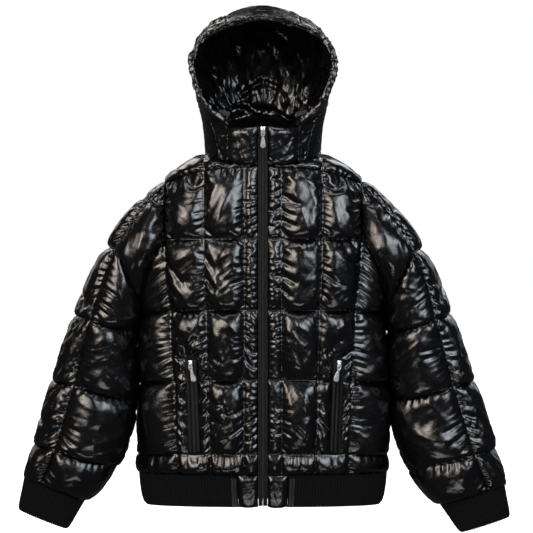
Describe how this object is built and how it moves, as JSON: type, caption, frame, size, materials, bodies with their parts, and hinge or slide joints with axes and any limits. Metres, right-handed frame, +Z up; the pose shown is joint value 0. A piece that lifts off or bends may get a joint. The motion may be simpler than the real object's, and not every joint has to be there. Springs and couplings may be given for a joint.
{
  "type": "hooded puffer jacket",
  "caption": "Quilted puffer jacket, filled out and hollow, with a hood, knit hem and cuffs, a front zip and zipped side pockets.",
  "frame": {"origin": "the point between the shoulders, level with the neck seam at its sides, where the jacket is held up", "axes": "+Z up along the front zip, the front facing -Y, +X to the wearer's left"},
  "size_m": [0.9467, 0.3012, 1.0244],
  "materials": {
    "nylon": "shiny black nylon, quilted over a soft fill",
    "lining": "shiny black lining",
    "knit": "matte black rib knit",
    "tape": "matte black zip tape with a nylon coil",
    "webbing": "matte dark grey webbing",
    "metal": "polished silver metal"
  },
  "bodies": {
    "jacket": {"front_right": "nylon", "front_left": "nylon", "yoke_right": "nylon", "yoke_left": "nylon", "back": "nylon", "back_yoke": "nylon", "sleeve_upper_right": "nylon", "sleeve_upper_left": "nylon", "sleeve_under_right": "nylon", "sleeve_under_left": "nylon", "hood_centre": "nylon", "hood_side_right": "nylon", "hood_side_left": "nylon", "hood_binding": "nylon", "collar_right": "nylon", "collar_left": "nylon", "hem_tab_right": "nylon", "hem_tab_left": "nylon", "hood_lining": "lining", "hem_rib": "knit", "cuff_right": "knit", "cuff_left": "knit", "zip_tape_right": "tape", "zip_tape_left": "tape", "pocket_tape_right": "tape", "pocket_tape_left": "tape", "hood_tab_right": "webbing", "hood_tab_left": "webbing", "zip_slider": "metal", "pocket_slider_right": "metal", "pocket_slider_left": "metal"},
    "zip_puller": {"zip_puller": "metal"},
    "pocket_puller_right": {"pocket_puller_right": "metal"},
    "pocket_puller_left": {"pocket_puller_left": "metal"}
  },
  "joints": [
    {"name": "zip_puller_swing", "type": "hinge", "parent": "jacket", "child": "zip_puller", "pos_m": [0, -0.11465, 0.0375], "axis": [-1, 0, 0], "range_deg": [0, 150]},
    {"name": "pocket_puller_right_swing", "type": "hinge", "parent": "jacket", "child": "pocket_puller_right", "pos_m": [-0.13912, -0.11934, -0.40802], "axis": [-0.9256, 0.2761, -0.2588], "range_deg": [0, 150]},
    {"name": "pocket_puller_left_swing", "type": "hinge", "parent": "jacket", "child": "pocket_puller_left", "pos_m": [0.14647, -0.11704, -0.40825], "axis": [-0.9174, -0.3023, 0.2588], "range_deg": [0, 150]}
  ]
}
